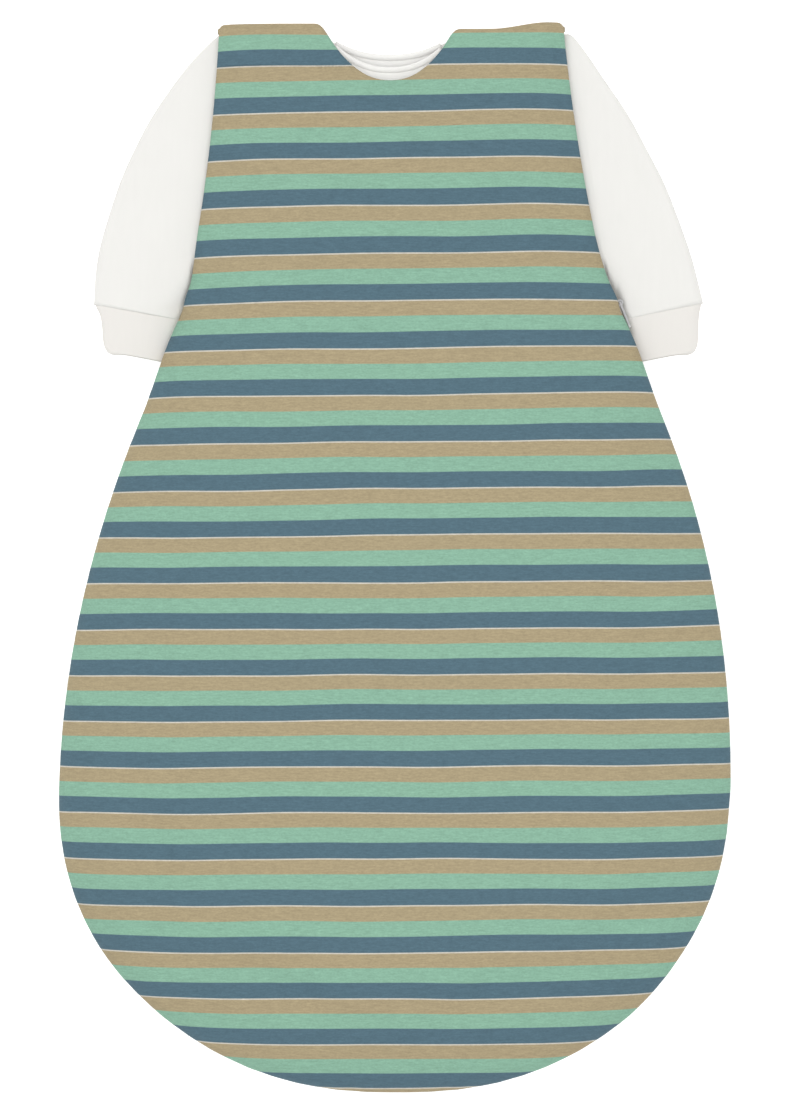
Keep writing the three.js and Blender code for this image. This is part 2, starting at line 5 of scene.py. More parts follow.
import bmesh
import bpy
import numpy as np
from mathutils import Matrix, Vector


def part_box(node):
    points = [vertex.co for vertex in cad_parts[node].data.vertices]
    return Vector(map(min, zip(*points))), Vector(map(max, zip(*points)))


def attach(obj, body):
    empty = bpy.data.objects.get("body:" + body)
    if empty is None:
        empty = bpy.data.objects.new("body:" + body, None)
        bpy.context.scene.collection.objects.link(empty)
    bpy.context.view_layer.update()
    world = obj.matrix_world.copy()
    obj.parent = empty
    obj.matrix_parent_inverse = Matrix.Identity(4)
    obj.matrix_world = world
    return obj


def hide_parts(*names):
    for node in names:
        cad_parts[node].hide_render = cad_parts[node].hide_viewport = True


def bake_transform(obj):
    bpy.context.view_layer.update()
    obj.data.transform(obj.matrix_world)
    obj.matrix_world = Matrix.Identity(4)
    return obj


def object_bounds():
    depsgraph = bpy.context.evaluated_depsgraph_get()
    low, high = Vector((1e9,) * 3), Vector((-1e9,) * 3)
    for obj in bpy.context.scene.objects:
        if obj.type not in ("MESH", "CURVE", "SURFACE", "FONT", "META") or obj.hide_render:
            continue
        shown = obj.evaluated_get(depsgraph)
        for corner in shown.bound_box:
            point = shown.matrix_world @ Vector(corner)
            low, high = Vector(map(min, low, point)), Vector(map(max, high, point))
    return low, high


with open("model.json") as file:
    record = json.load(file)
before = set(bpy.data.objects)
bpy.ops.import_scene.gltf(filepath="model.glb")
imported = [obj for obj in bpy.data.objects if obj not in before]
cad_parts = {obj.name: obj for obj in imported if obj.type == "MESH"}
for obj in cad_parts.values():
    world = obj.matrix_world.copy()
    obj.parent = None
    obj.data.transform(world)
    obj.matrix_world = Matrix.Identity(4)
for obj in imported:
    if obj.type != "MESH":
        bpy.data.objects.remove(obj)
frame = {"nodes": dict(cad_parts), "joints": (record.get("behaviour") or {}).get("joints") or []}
cad_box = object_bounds()
JOINTS = {joint["name"]: joint for joint in frame["joints"]}

# A baby sleeping bag lying on its back: padded striped outer bag, side zip, snapped shoulders,
# and a thin inner bag with sleeves. Metres, in the frame of the CAD part.

# ---- Driving dimensions: the CAD part's in metres, with a little more flare and a squarer neck ----
HALF_LENGTH = cad_box[1].y
SIDE_X, SIDE_Y, SIDE_R = -0.3894, -0.1431, 0.5933
FOOT_LINE, FOOT_POWER = -0.1386, 2.42
FLARE, FLARE_FROM, FLARE_TO = 0.006, 0.085, 0.150
UNDERARM_LOW, UNDERARM_HIGH = 0.150, 0.168
ARMHOLE_LOW, ARMHOLE_HIGH, ARMHOLE_SCOOP = 0.1265, 0.1045, 0.52
CHEST_LOW, CHEST_HIGH = 0.090, 0.250
SEAM_Z = 0.018
FRONT_BELLY, FRONT_HEAD = 0.046, 0.031
STRAP_LINE = JOINTS["left_strap_open"]["pos_m"][1]
FOLD_HEAD = np.array(JOINTS["corner_open"]["pos_m"])
FOLD_AXIS = np.array(JOINTS["corner_open"]["axis"], float)
FOLD_OUT = np.array([-FOLD_AXIS[1], FOLD_AXIS[0], 0.0])
ZIP_CENTRE = np.array(JOINTS["zip_travel"]["pos_m"])
ZIP_RADIUS = 0.9943
ZIP_EDGE = 0.0062                 # the cover stops this far above and below the chain's middle
ZIP_WINDOW = (-0.152, -0.138, 0.168, 0.178)

NECK_MIDDLE, NECK_HALF, NECK_POWER = -0.0014, 0.040, 2.25
BACK_PADDING_RIM = 0.0118         # the back's padding is trimmed off here, below the side seam
EDGE_ROUND, EDGE_DROP = 0.009, 0.004
FLANGE = 0.009                    # cloth turned in along an edge
BACK_FLAT = 0.6                   # the back is flat over this share of the way to the side seam
INNER_INSET = 0.0150              # the inner bag is this much narrower than the outer one
LOWEST_CLOTH = 0.0006             # no arm comes nearer to the table than this
FOLD_ZONE, STRAP_FOLD_ZONE, SLEEVE_FOLD_ZONE = 0.040, 0.005, 0.030


# ---- Small helpers ----
def lerp(a, b, t):
    return a + (b - a) * t


def smooth(t):
    t = np.clip(t, 0, 1)
    return t * t * (3 - 2 * t)


def past_underarm(y):
    return smooth((y - UNDERARM_LOW) / (UNDERARM_HIGH - UNDERARM_LOW))


def towards_head(belly, head, y):
    return lerp(belly, head, smooth((y - CHEST_LOW) / (CHEST_HIGH - CHEST_LOW)))


def side_width(y, inset=0.0):
    below = np.minimum(y, UNDERARM_LOW)
    side = SIDE_X + np.sqrt((SIDE_R - inset) ** 2 - (below - SIDE_Y) ** 2)
    side = side + FLARE * smooth((below - FLARE_FROM) / (FLARE_TO - FLARE_FROM))
    up = (y - UNDERARM_HIGH) / (HALF_LENGTH - UNDERARM_HIGH)
    hollowed = up * (1 + ARMHOLE_SCOOP * (1 - up))
    return lerp(side, lerp(ARMHOLE_LOW, ARMHOLE_HIGH, hollowed) - inset, past_underarm(y))


def wander(y):
    """How far the bag's middle line lies to the right: it was not laid quite straight."""
    bend = 0.0010 + 0.0026 * np.sin(2 * math.pi * (y + 0.065) / 0.66)
    return bend - 0.0022 * smooth((y - 0.15) / 0.05) + 0.0014 * smooth((-0.235 - y) / 0.05)


def smooth_min(a, b, k):
    h = np.clip(0.5 + 0.5 * (b - a) / k, 0, 1)
    return lerp(b, a, h) - k * h * (1 - h)


def neck_edge(bottom, rise, shoulder_left, shoulder_right, tip=None, corner=0.0035):
    """The top edge of a panel as a function of x: a U between two shoulders with rounded ends.

    tip: how high the right shoulder runs up at its armhole end, if it isn't level."""
    def top(x):
        u = bottom + rise * (np.abs(x - NECK_MIDDLE) / NECK_HALF) ** NECK_POWER
        right = lerp(shoulder_right, tip or shoulder_right, smooth((x - 0.060) / 0.037))
        shoulder = np.where(x < 0, shoulder_left, right)
        past = np.clip((np.abs(x) - (ARMHOLE_HIGH - corner)) / corner, 0, 1)
        shoulder = shoulder - corner * (1 - np.sqrt(1 - 0.96 * past ** 2))
        return smooth_min(u, shoulder, 0.005)
    return top


FRONT_TOP_EDGE = neck_edge(0.2888, 0.0322, 0.3232, 0.3200, tip=HALF_LENGTH - 0.0004)
BACK_TOP_EDGE = neck_edge(0.303, 0.0145, 0.3175, 0.3175)
INNER_FRONT_TOP_EDGE = neck_edge(0.2965, 0.0210, 0.3165, 0.3165)
INNER_BACK_TOP_EDGE = neck_edge(0.3050, 0.0128, 0.3168, 0.3168)


def zip_window(y):
    a, b, c, d = ZIP_WINDOW
    return smooth((y - a) / (b - a)) * (1 - smooth((y - c) / (d - c)))


def zip_x(y):
    return ZIP_CENTRE[0] + np.sqrt(ZIP_RADIUS ** 2 - (y - ZIP_CENTRE[1]) ** 2)


# ---- Flat cuts, worked out from the outline and seam lines and not from the meshes ----
def panel_cut(top, inset=0.0, above=-HALF_LENGTH, left_only=False):
    """(width, length) and area of a panel's outline laid flat."""
    step = 0.001
    across = np.arange(-0.21, 0.21, step) + step / 2
    up = np.arange(-HALF_LENGTH, HALF_LENGTH, step) + step / 2
    x, y = np.meshgrid(across, up)
    down = np.clip((FOOT_LINE - y) / (FOOT_LINE + HALF_LENGTH - inset), 0, 1)
    half = side_width(y, inset) * (1 - down ** FOOT_POWER) ** (1 / FOOT_POWER)
    inside = (np.abs(x) <= half) & (y <= top(x)) & (y >= above)
    if left_only:
        inside &= x < NECK_MIDDLE
    xs, ys = x[inside], y[inside]
    flat = (float(np.ptp(xs) + step), float(np.ptp(ys) + step))
    return flat, float(inside.sum() * step ** 2)


# ---- Meshes ----
def new_piece(name, points, faces, material, body=None):
    mesh = bpy.data.meshes.new(name)
    mesh.from_pydata([tuple(p) for p in points], [], [tuple(int(i) for i in f) for f in faces])
    mesh.materials.append(material)
    mesh.polygons.foreach_set("use_smooth", [True] * len(mesh.polygons))
    obj = bpy.data.objects.new(name, mesh)
    bpy.context.scene.collection.objects.link(obj)
    if body:
        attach(obj, body)
    return obj


def coordinates(mesh):
    co = np.empty(len(mesh.vertices) * 3)
    mesh.vertices.foreach_get("co", co)
    return co.reshape(-1, 3)


def move_to(mesh, co):
    mesh.vertices.foreach_set("co", co.ravel())
    mesh.update()


def normals(mesh):
    n = np.empty(len(mesh.vertices) * 3)
    mesh.vertex_normals.foreach_get("vector", n)
    return n.reshape(-1, 3)


def lay_bent(obj):
    co = coordinates(obj.data)
    co[:, 0] += wander(co[:, 1])
    move_to(obj.data, co)


def remember_cloth(obj):
    """Stores where each point rests, so that a pattern stays on the cloth when the cloth bends."""
    layer = obj.data.attributes.new("cloth", "FLOAT_VECTOR", "POINT")
    layer.data.foreach_set("vector", coordinates(obj.data).astype(np.float32).ravel())


MOST_SINK = 0.0003                # cloth may settle this far towards what lies under it
SIMULATED_FRAMES = 20


def inflate(obj, held, pressure, cap):
    """Lets cloth pressure swell a sheet between its held points, by at most cap. It hardly sinks."""
    rest = coordinates(obj.data)
    group = obj.vertex_groups.new(name="held")
    group.add([int(i) for i in held], 1.0, "REPLACE")
    cloth = obj.modifiers.new("cloth", "CLOTH")
    cloth.settings.quality = 5
    cloth.settings.mass = 0.3
    cloth.settings.tension_stiffness = 15
    cloth.settings.compression_stiffness = 15
    cloth.settings.bending_stiffness = 0.6
    cloth.settings.use_pressure = True
    cloth.settings.uniform_pressure_force = pressure
    cloth.settings.vertex_group_mass = group.name
    cloth.settings.effector_weights.gravity = 0
    cloth.collision_settings.use_collision = False
    cloth.point_cache.frame_start = 1
    cloth.point_cache.frame_end = SIMULATED_FRAMES
    for step in range(1, SIMULATED_FRAMES + 1):
        bpy.context.scene.frame_set(step)
    shown = obj.evaluated_get(bpy.context.evaluated_depsgraph_get())
    moved = coordinates(shown.data) - rest
    out = normals(obj.data)
    rise = np.einsum("ij,ij->i", moved, out)
    rise = np.where(rise > 0, cap * np.tanh(rise / cap), -MOST_SINK * np.tanh(-rise / MOST_SINK))
    new = rest + out * rise[:, None]
    obj.modifiers.remove(cloth)
    obj.vertex_groups.clear()
    bpy.context.scene.frame_set(1)
    move_to(obj.data, new)


def subdivide(obj):
    smoother = obj.modifiers.new("subdivision", "SUBSURF")
    smoother.levels = smoother.render_levels = 1
    shown = obj.evaluated_get(bpy.context.evaluated_depsgraph_get())
    mesh = bpy.data.meshes.new_from_object(shown)
    obj.modifiers.clear()
    obj.data = mesh


def thicken(obj, thickness):
    solid = obj.modifiers.new("thickness", "SOLIDIFY")
    solid.thickness = thickness
    solid.offset = -1
    return solid


def grid_faces(rows, columns, turned=False):
    """Four-cornered faces over points laid out row by row. turned: they look the other way."""
    faces = []
    for r in range(rows - 1):
        for c in range(columns - 1):
            a, d = r * columns + c, (r + 1) * columns + c
            faces.append((a, d, d + 1, a + 1) if turned else (a, a + 1, d + 1, d))
    return faces


def ring_faces(rings, around, turned=False):
    """Four-cornered faces between rings of points."""
    faces = []
    for r in range(rings - 1):
        for k in range(around):
            n = (k + 1) % around
            face = (r * around + k, r * around + n, (r + 1) * around + n, (r + 1) * around + k)
            faces.append(face[::-1] if turned else face)
    return faces


# ---- Panels: dished sheets over the bag's outline ----
def half_columns():
    middle = np.arange(0, 0.28, 0.045)
    neck_corner = np.arange(0.29, 0.45, 0.02)
    chest = np.arange(0.46, 0.94, 0.04)
    rim = np.array([0.955, 0.973, 0.986, 0.994, 0.998, 1.0])
    return np.concatenate([middle, neck_corner, chest, rim])


def panel_columns():
    half = half_columns()
    return np.concatenate([-half[:0:-1], half])


def panel_rows():
    foot_end = 1 - np.array([0, 0.003, 0.01, 0.022, 0.04, 0.065, 0.095])
    foot = np.concatenate([foot_end, np.arange(0.87, 0.02, -0.035)])
    body = np.arange(FOOT_LINE, UNDERARM_LOW - 0.003, 0.007)
    arm = np.linspace(UNDERARM_LOW, UNDERARM_HIGH, 5)[:-1]
    head_end = np.array([7.5, 4.8, 2.8, 1.4, 0.5, 0]) / 157
    head = np.concatenate([np.linspace(0, 0.92, 25), 1 - head_end])
    return [("foot", v) for v in foot] + [("body", y) for y in [*body, *arm]] + [("head", h) for h in head]


def row_places(kind, value, u, inset, top):
    """x, y and rho, the share of the way to the side seam, along one row."""
    if kind == "foot":
        n = FOOT_POWER
        across = u * (1 - value ** n / 2) ** (1 / n)
        down = value * (1 - np.abs(u) ** n / 2) ** (1 / n)
        y = FOOT_LINE - down * (FOOT_LINE + HALF_LENGTH - inset)
        rho = (np.abs(across) ** n + down ** n) ** (1 / n)
        return across * side_width(y, inset), y, rho
    if kind == "body":
        y = np.full_like(u, value)
        return u * side_width(y, inset), y, np.abs(u)
    x = u * ARMHOLE_HIGH
    for _ in range(6):
        x = u * side_width(top(x), inset)
    y = lerp(UNDERARM_HIGH, top(x), value)
    return u * side_width(y, inset), y, np.abs(u)


def from_top_edge(x, y, top):
    step = 0.0005
    slope = (top(x + step) - top(x - step)) / (2 * step)
    return np.maximum(0, top(x) - y) / np.sqrt(1 + slope ** 2)


def front_height(x, y, rho, u, depth, top, edge_change):
    edge = lerp(SEAM_Z + 0.0002, 0.021, past_underarm(y))
    edge = edge + (ZIP_EDGE - 0.0002) * zip_window(y) * smooth(u * 2 - 0.6)
    crest = towards_head(FRONT_BELLY, FRONT_HEAD, y) - depth
    z = edge + (crest - edge) * np.sqrt(np.clip(1 - rho ** 6, 0, 1))
    near = np.clip(1 - from_top_edge(x, y, top) / EDGE_ROUND, 0, 1)
    return z + edge_change * (1 - np.sqrt(1 - near ** 2))


def back_edge(y, u):
    edge = lerp(SEAM_Z - 0.0002, 0.007, past_underarm(y))
    return edge - (ZIP_EDGE - 0.0002) * zip_window(y) * smooth(u * 2 - 0.6)


def share_below(rim, y, u, depth):
    """The share of the way to the side seam at which the back rises to a height."""
    left, right = back_edge(y, -1.0), back_edge(y, 1.0)
    edge = np.where(u < 0, left, right)
    level = np.clip((edge - rim) / (edge - depth), 0, 1)
    return BACK_FLAT + (1 - BACK_FLAT) * np.sqrt(1 - level ** 2)


def back_dish(rho):
    """1 over the flat of the back, and 0 at the side seam."""
    return np.sqrt(1 - np.clip((rho - BACK_FLAT) / (1 - BACK_FLAT), 0, 1) ** 2)


def back_height(x, y, rho, u, depth, top, edge_change):
    edge = back_edge(y, u)
    z = edge + (depth - edge) * back_dish(rho)
    near = np.clip(1 - from_top_edge(x, y, top) / EDGE_ROUND, 0, 1)
    return z + edge_change * (1 - np.sqrt(1 - near ** 2))


def flange_inset(y, u):
    """How far the turned-in cloth reaches: to the tape along the zip."""
    to_tape = np.clip(side_width(y) - zip_x(y) - 0.0006, 0.0008, FLANGE)
    return np.where(u > 0, lerp(FLANGE, to_tape, zip_window(y)), FLANGE)


def row_points(height, kind, value, top, inset, depth, edge_change, rim):
    u = panel_columns()
    x, y, rho = row_places(kind, value, u, inset, top)
    if rim is not None:
        share = share_below(rim, y, u, depth(y))
        x, rho = x * share, rho * share
        if kind == "foot":
            y = FOOT_LINE + (y - FOOT_LINE) * share
    z = height(x, y, rho, u, depth(y), top, edge_change)
    return np.stack([x, y, z], axis=1)


def turn_in_sides(line, kind):
    """A row with one more point at each end, on the cloth that is turned in."""
    ends = []
    for end, u in ((0, -1.0), (-1, 1.0)):
        reach = flange_inset(line[end, 1], u)
        inward = np.array([-np.sign(line[end, 0]) * reach, 0, 0])
        if kind == "foot":
            out = line[end, :2] / np.linalg.norm(line[end, :2])
            inward = np.array([*(-out * reach), 0])
        ends.append(line[end] + inward)
    return np.concatenate([[ends[0]], line, [ends[1]]])


def turn_in_ends(lines, turn):
    """The rows with one more at the foot and one at the head, on the cloth that is turned in."""
    first = lines[0].copy()
    out = first[:, :2] / np.linalg.norm(first[:, :2], axis=1, keepdims=True)
    first[1:-1, :2] -= out[1:-1] * FLANGE
    first[[0, -1]] = lines[0][[0, -1]] * [0.97, 1, 1] + [0, FLANGE / 2, 0]
    last = lines[-1] - [0, 0.003, turn]
    return [first, *lines, last]


def panel(name, height, top, inset, depth, edge_change, material, flange=False, setback=0.0, rim=None):
    """One sheet of the front or back. Its outermost ring is turned in when it has a flange.

    setback: how far it stops short of the top edge.
    rim: the height at which the sheet is trimmed off, short of the side seam."""
    def edge_top(x):
        return top(x) - setback
    lines = []
    for kind, value in panel_rows():
        line = row_points(height, kind, value, edge_top, inset, depth, edge_change, rim)
        lines.append(turn_in_sides(line, kind) if flange else line)
    if flange:
        lines = turn_in_ends(lines, 0.0012 if height is front_height else -0.0012)
    grid = np.array(lines)
    rows, columns = grid.shape[:2]
    faces = grid_faces(rows, columns)
    if height not in (front_height, inner_front_height):
        faces = [face[::-1] for face in faces]
    obj = new_piece(name, grid.reshape(-1, 3), faces, material)
    index = np.arange(rows * columns).reshape(rows, columns)
    border = 2 if flange else 1
    sides = (index[:border], index[-border:], index[:, :border], index[:, -border:])
    return obj, np.concatenate([side.ravel() for side in sides])


def share_to_side(co):
    """rho for points anywhere on the bag."""
    down = np.clip((FOOT_LINE - co[:, 1]) / (FOOT_LINE + HALF_LENGTH), 0, 1)
    across = np.clip(np.abs(co[:, 0]) / side_width(co[:, 1]), 0, 1)
    return (across ** FOOT_POWER + down ** FOOT_POWER) ** (1 / FOOT_POWER)


def random_folds(co, draws, steepest, count):
    """Long shallow waves that run every way over the cloth, between -1 and 1."""
    return sum(
        np.sin(2 * math.pi * (co[:, 0] * a + co[:, 1] * b) + draws.uniform(0, 6.28))
        for a, b in draws.uniform(-steepest, steepest, (count, 2))
    ) / count


def pucker(obj, amount, seed):
    """Small gathers that run in from the side seam, and long shallow folds on the body."""
    co = coordinates(obj.data)
    rho = share_to_side(co)
    from_seam = np.clip(1 - rho, 0, 1) * 0.2
    turn = np.arctan2(co[:, 1] + 0.05, co[:, 0]) * 0.25
    draws = np.random.default_rng(seed)
    gathers = sum(
        np.sin(2 * math.pi * turn / wave + draws.uniform(0, 6.28)) for wave in (0.0127, 0.0173, 0.0231)
    ) / 3
    fold = random_folds(co, draws, 9, 6)
    inside = smooth((1 - rho) / 0.15) * smooth((0.27 - co[:, 1]) / 0.04)
    shape = gathers * np.exp(-from_seam / 0.010) * smooth((1 - rho) / 0.012)
    shape = shape * smooth((UNDERARM_LOW - co[:, 1]) / 0.02) + 0.9 * fold * inside
    co = co + normals(obj.data) * (amount * shape)[:, None]
    move_to(obj.data, co)


def cut_strap(obj, name):
    """Parts the left shoulder strap from a front sheet, along the strap line."""
    strap = obj.copy()
    strap.data = obj.data.copy()
    strap.name = name
    bpy.context.scene.collection.objects.link(strap)
    for piece, keep_strap in ((obj, False), (strap, True)):
        work = bmesh.new()
        work.from_mesh(piece.data)
        near = [f for f in work.faces if f.calc_center_median().x < 0 and f.calc_center_median().y > 0.28]
        edges = {e for f in near for e in f.edges}
        verts = {v for f in near for v in f.verts}
        bmesh.ops.bisect_plane(
            work, geom=[*near, *edges, *verts], dist=1e-7,
            plane_co=(0, STRAP_LINE, 0), plane_no=(0, 1, 0),
        )
        drop = []
        for f in work.faces:
            middle = f.calc_center_median()
            on_strap = middle.y > STRAP_LINE and middle.x < NECK_MIDDLE
            if on_strap != keep_strap:
                drop.append(f)
        bmesh.ops.delete(work, geom=drop, context="FACES")
        work.to_mesh(piece.data)
        work.free()
    return strap


# ---- Materials ----
def srgb(r, g, b, light=1.0):
    def linear(v):
        v = v / 255
        return v / 12.92 if v <= 0.04045 else ((v + 0.055) / 1.055) ** 2.4
    return tuple(linear(v) / light for v in (r, g, b)) + (1.0,)


CLOTH_GLOSS = 0.15                # jersey hardly mirrors the light


class Look:
    """A material's node tree with short names for what this file uses."""
    def __init__(self, name, roughness=0.9, metallic=0.0, sheen=0.0):
        self.material = bpy.data.materials.new(name)
        self.material.use_nodes = True
        self.tree = self.material.node_tree
        self.shader = self.tree.nodes["Principled BSDF"]
        self.shader.inputs["Roughness"].default_value = roughness
        self.shader.inputs["Metallic"].default_value = metallic
        self.shader.inputs["Sheen Weight"].default_value = sheen
        self.shader.inputs["Sheen Roughness"].default_value = 0.5
        if not metallic and roughness > 0.7:
            self.shader.inputs["Specular IOR Level"].default_value = CLOTH_GLOSS

    def node(self, kind, **settings):
        made = self.tree.nodes.new("ShaderNode" + kind)
        for key, value in settings.items():
            setattr(made, key, value)
        return made

    def join(self, source, target):
        self.tree.links.new(source, target)

    def math(self, operation, a, b=0.0, c=0.0):
        made = self.node("Math", operation=operation)
        for socket, value in zip(made.inputs, (a, b, c)):
            if isinstance(value, (int, float)):
                socket.default_value = value
            else:
                self.join(value, socket)
        return made.outputs[0]

    def scaled(self, vector, scale):
        made = self.node("VectorMath", operation="MULTIPLY")
        self.join(vector, made.inputs[0])
        made.inputs[1].default_value = scale
        return made.outputs[0]

    def cloth(self, scale=(1, 1, 1)):
        """Where a point of the cloth rests."""
        return self.scaled(self.node("Attribute", attribute_name="cloth").outputs["Vector"], scale)

    def cloth_axes(self):
        parts = self.node("SeparateXYZ")
        self.join(self.cloth(), parts.inputs[0])
        return parts.outputs["X"], parts.outputs["Y"], parts.outputs["Z"]

    def place(self, scale=(1, 1, 1)):
        return self.scaled(self.node("TexCoord").outputs["Object"], scale)

    def noise(self, vector, scale, detail=2.0):
        made = self.node("TexNoise")
        made.inputs["Scale"].default_value = scale
        made.inputs["Detail"].default_value = detail
        self.join(vector, made.inputs["Vector"])
        return made.outputs["Fac"]

    def ramp_between(self, value, over, heights):
        """Goes smoothly between two heights as the value crosses a stretch."""
        made = self.node("MapRange", interpolation_type="SMOOTHSTEP")
        self.join(value, made.inputs["Value"])
        keys = ("From Min", "From Max", "To Min", "To Max")
        for key, number in zip(keys, (*over, *heights)):
            made.inputs[key].default_value = number
        return made.outputs[0]

    def around_one(self, value, amount):
        return self.math("MULTIPLY_ADD", value, 2 * amount, 1 - amount)

    def tint(self, color, factor):
        made = self.node("VectorMath", operation="SCALE")
        if isinstance(color, tuple):
            made.inputs[0].default_value = color[:3]
        else:
            self.join(color, made.inputs[0])
        self.join(factor, made.inputs["Scale"])
        self.join(made.outputs[0], self.shader.inputs["Base Color"])

    def bump(self, height, strength, distance):
        made = self.node("Bump")
        made.inputs["Strength"].default_value = strength
        made.inputs["Distance"].default_value = distance
        self.join(height, made.inputs["Height"])
        self.join(made.outputs[0], self.shader.inputs["Normal"])


LIGHT = 1.155                     # how bright the studio light leaves a white surface
PERIOD = 0.02805                  # one repeat of the stripes
FIRST_STRIPE = 0.2882             # the top edge of a mint stripe at the middle
MINT_SHARE, BLUE_SHARE, LINE_SHARE = 0.322, 0.664, 0.690
KNIT_WALES, KNIT_COURSES = 1150.0, 1400.0


def knit_height(look):
    """Rows of stitches: fine wales across and courses along the cloth."""
    x, y, _ = look.cloth_axes()
    wales = look.math("SINE", look.math("MULTIPLY", x, 2 * math.pi * KNIT_WALES))
    courses = look.math("SINE", look.math("MULTIPLY", y, 2 * math.pi * KNIT_COURSES))
    return look.math("MULTIPLY_ADD", look.math("MULTIPLY", wales, courses), 0.5, 0.5)


def stripe_phase(look):
    """How far a point lies through one repeat. The stripes tilt, bow and sway a little."""
    x, y, _ = look.cloth_axes()
    tilt = look.ramp_between(y, (-0.20, 0.18), (0.0045, 0.012))
    over_belly = look.ramp_between(y, (0.110, 0.270), (0.0036, 0.0))
    at_foot = look.ramp_between(y, (-0.220, 0.0), (-0.0024, 0.0))
    sway = look.math("MULTIPLY_ADD", look.noise(look.cloth((1, 1.6, 0)), 9, 1), 0.0034, -0.0017)
    level = look.math("SUBTRACT", y, look.math("MULTIPLY", x, tilt))
    level = look.math("ADD", level, look.math("ADD", over_belly, at_foot))
    level = look.math("ADD", level, sway)
    repeats = look.math("DIVIDE", look.math("SUBTRACT", FIRST_STRIPE, level), PERIOD)
    return look.math("FRACT", look.math("ADD", repeats, 50.0))


def stripe_colors(look, phase):
    """Mint, blue, a fine pale line and beige, in turn."""
    mint, blue = srgb(143, 186, 163, LIGHT), srgb(89, 116, 129, LIGHT)
    line, beige = srgb(216, 211, 199, LIGHT), srgb(176, 161, 129, LIGHT)
    soft = 0.006
    stops = [
        (0.0, mint), (MINT_SHARE - soft, mint), (MINT_SHARE + soft, blue), (BLUE_SHARE - soft, blue),
        (BLUE_SHARE + soft, line), (LINE_SHARE - soft, line), (LINE_SHARE + soft, beige),
        (1 - soft, beige), (1.0, mint),
    ]
    ramp = look.node("ValToRGB")
    ramp.color_ramp.interpolation = "LINEAR"
    elements = ramp.color_ramp.elements
    while len(elements) < len(stops):
        elements.new(0.5)
    for element, (position, _) in zip(elements, stops):
        element.position = position
    for element, (_, color) in zip(elements, stops):
        element.color = color
    look.join(phase, ramp.inputs["Fac"])
    return ramp.outputs["Color"]


def striped_jersey():
    look = Look("striped_jersey", roughness=0.92, sheen=0.02)
    stripes = stripe_colors(look, stripe_phase(look))
    streaks = look.around_one(look.noise(look.cloth((160, 1000, 160)), 1, 3), 0.20)
    heather = look.around_one(look.noise(look.cloth((650, 1300, 650)), 1, 2), 0.20)
    patches = look.around_one(look.noise(look.cloth(), 60, 2), 0.03)
    mottled = look.math("MULTIPLY", look.math("MULTIPLY", streaks, heather), patches)
    look.tint(stripes, mottled)
    look.bump(knit_height(look), 0.25, 0.0003)
    return look.material


def plain_jersey(name, color):
    look = Look(name, roughness=0.93, sheen=0.02)
    streaks = look.around_one(look.noise(look.cloth((300, 60, 60)), 1, 2), 0.015)
    patches = look.around_one(look.noise(look.cloth(), 25, 2), 0.012)
    look.tint(color, look.math("MULTIPLY", streaks, patches))
    look.bump(knit_height(look), 0.25, 0.0003)
    return look.material


def wadding_fibre():
    look = Look("wadding_fibre", roughness=1.0)
    look.tint(srgb(238, 236, 230, LIGHT), look.around_one(look.noise(look.cloth(), 220, 6), 0.08))
    look.bump(look.noise(look.cloth((1, 1, 4)), 400, 6), 0.6, 0.002)
    return look.material


def woven_tape():
    look = Look("woven_tape", roughness=0.8)
    _, y, z = look.cloth_axes()
    twill = look.math("ADD", y, look.math("PINGPONG", z, 0.001))
    rib = look.math("SINE", look.math("MULTIPLY", twill, 2 * math.pi * 1500))
    # Painted shade: the tint follows the rib's height, so the weave's grooves are painted darker.
    look.tint(srgb(226, 222, 212, LIGHT), look.around_one(rib, 0.03))
    look.bump(rib, 0.4, 0.0002)
    return look.material


def moulded_plastic():
    look = Look("moulded_plastic", roughness=0.42)
    look.tint(srgb(236, 233, 226, LIGHT), look.around_one(look.noise(look.place(), 900, 2), 0.02))
    look.bump(look.noise(look.place(), 2500, 2), 0.08, 0.0002)
    return look.material


def worn_metal(name, color, roughness):
    look = Look(name, roughness=roughness, metallic=1.0)
    look.tint(color, look.around_one(look.noise(look.place(), 500, 3), 0.04))
    scratches = look.noise(look.place((300, 4000, 300)), 1, 3)
    look.join(look.math("MULTIPLY_ADD", scratches, 0.16, roughness - 0.08), look.shader.inputs["Roughness"])
    look.bump(scratches, 0.05, 0.0001)
    return look.material


def studio_floor():
    """A pale table, lit a little from within so that shadows stay faint."""
    look = Look("studio_floor", roughness=0.95)
    look.tint((0.95, 0.95, 0.948, 1.0), look.around_one(look.noise(look.place(), 3, 2), 0.004))
    look.shader.inputs["Emission Color"].default_value = (1, 1, 1, 1)
    look.shader.inputs["Emission Strength"].default_value = 0.45
    return look.material


STRIPED = striped_jersey()
WHITE = plain_jersey("white_jersey", srgb(243, 242, 238, LIGHT))
RIB = plain_jersey("rib_jersey", srgb(240, 237, 232, LIGHT))
# The inner bag is painted brighter than the sleeves: painted light against the shade in the bag's mouth,
# where their white would look grey.
INNER_PAINTED_BRIGHT = plain_jersey("inner_jersey_painted_bright", srgb(253, 252, 249, LIGHT))
FIBRE = wadding_fibre()
TAPE = woven_tape()
PLASTIC = moulded_plastic()
ZIP_METAL = worn_metal("zip_metal", (0.80, 0.80, 0.81, 1.0), 0.30)
SNAP_METAL = worn_metal("snap_metal", (0.64, 0.62, 0.59, 1.0), 0.38)


# ---- The padded outer bag ----
def wadding_depth(belly, head, extra):
    return lambda y: extra + towards_head(belly, head, y)


def flat_depth(depth):
    return lambda y: np.full_like(np.asarray(y, float), depth)


TO_CORNER = dict(start=tuple(FOLD_HEAD), end=tuple(FOLD_HEAD + FOLD_ZONE * FOLD_OUT))
TO_STRAP = dict(start=(0, STRAP_LINE, FRONT_HEAD), end=(0, STRAP_LINE + STRAP_FOLD_ZONE, FRONT_HEAD))

